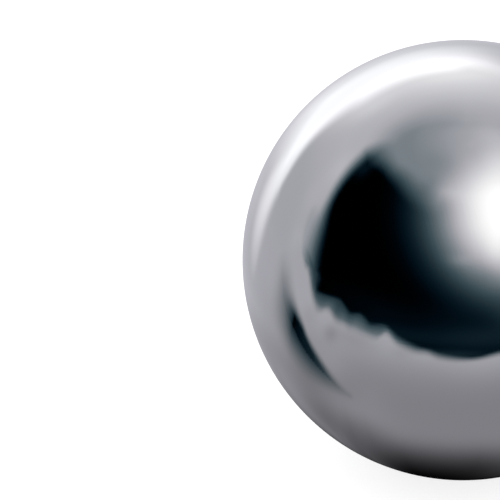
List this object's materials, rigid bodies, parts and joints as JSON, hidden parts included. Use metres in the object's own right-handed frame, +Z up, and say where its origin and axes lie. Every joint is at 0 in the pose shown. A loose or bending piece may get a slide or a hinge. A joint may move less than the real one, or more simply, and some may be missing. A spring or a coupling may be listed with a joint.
{
  "type": "steel ball",
  "caption": "Loose mirror-polished steel ball, a true sphere that rolls in a race, seats in a cup or serves as a weight, stop or gauge.",
  "frame": {"origin": "centre of the ball", "axes": "+Z up as the ball is seen; every axis through the centre is an axis of symmetry"},
  "size_m": [0.0254, 0.0254, 0.0254],
  "materials": {
    "polished_steel": "polished"
  },
  "bodies": {
    "root": {"ball": "polished_steel"}
  },
  "joints": []
}
